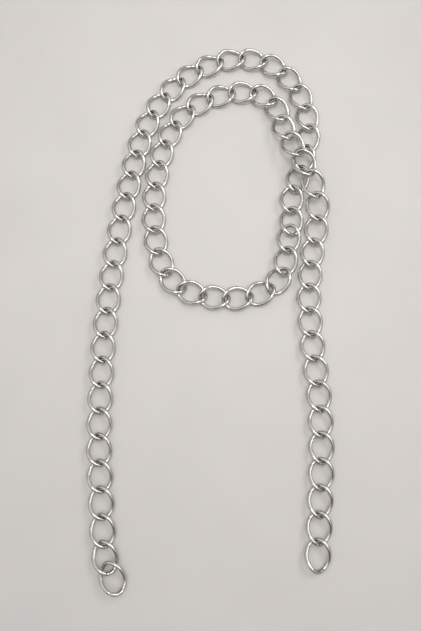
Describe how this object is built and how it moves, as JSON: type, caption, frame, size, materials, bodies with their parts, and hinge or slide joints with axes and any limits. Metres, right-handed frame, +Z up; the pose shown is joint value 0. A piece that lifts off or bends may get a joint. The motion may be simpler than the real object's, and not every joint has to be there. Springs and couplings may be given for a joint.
{
  "type": "curb chain",
  "caption": "Length of plated steel curb chain with twisted oval wire links, laid once over itself in a long loop with two free ends.",
  "frame": {"origin": "on the floor under the middle of the laid chain's outline", "axes": "+Y from the two free ends towards the top of the outer arch, +X to the right as the picture shows it, +Z up from the floor"},
  "size_m": [0.1567, 0.3673, 0.0133],
  "materials": {
    "plated_steel": "bright nickel-coloured plating on drawn steel wire, with fine drawing marks and small rub marks"
  },
  "bodies": {
    "root": {"link_01": "plated_steel", "links_02_03": "plated_steel", "links_04_05": "plated_steel", "links_06_07": "plated_steel", "links_08_09": "plated_steel", "links_10_11": "plated_steel", "links_12_13": "plated_steel", "links_14_15": "plated_steel", "links_16_17": "plated_steel", "link_18": "plated_steel", "link_19": "plated_steel", "link_20": "plated_steel", "link_21": "plated_steel", "link_22": "plated_steel", "link_23": "plated_steel", "link_24": "plated_steel", "link_25": "plated_steel", "link_26": "plated_steel", "link_27": "plated_steel", "link_28": "plated_steel", "link_29": "plated_steel", "link_30": "plated_steel", "link_31": "plated_steel", "link_32": "plated_steel", "link_33": "plated_steel", "link_34": "plated_steel", "link_35": "plated_steel", "link_36": "plated_steel", "link_37": "plated_steel", "link_38": "plated_steel", "link_39": "plated_steel", "link_40": "plated_steel", "link_41": "plated_steel", "link_42": "plated_steel", "link_43": "plated_steel", "link_44": "plated_steel", "link_45": "plated_steel", "link_46": "plated_steel", "link_47": "plated_steel", "link_48": "plated_steel", "link_49": "plated_steel", "link_50": "plated_steel", "link_51": "plated_steel", "link_52": "plated_steel", "link_53": "plated_steel", "link_54": "plated_steel", "link_55": "plated_steel", "link_56": "plated_steel", "link_57": "plated_steel", "link_58": "plated_steel", "link_59": "plated_steel", "link_60": "plated_steel", "link_61": "plated_steel", "links_62_63": "plated_steel", "links_64_65": "plated_steel", "links_66_67": "plated_steel", "links_68_69": "plated_steel", "links_70_71": "plated_steel", "links_72_73": "plated_steel", "links_74_75": "plated_steel"}
  },
  "joints": []
}
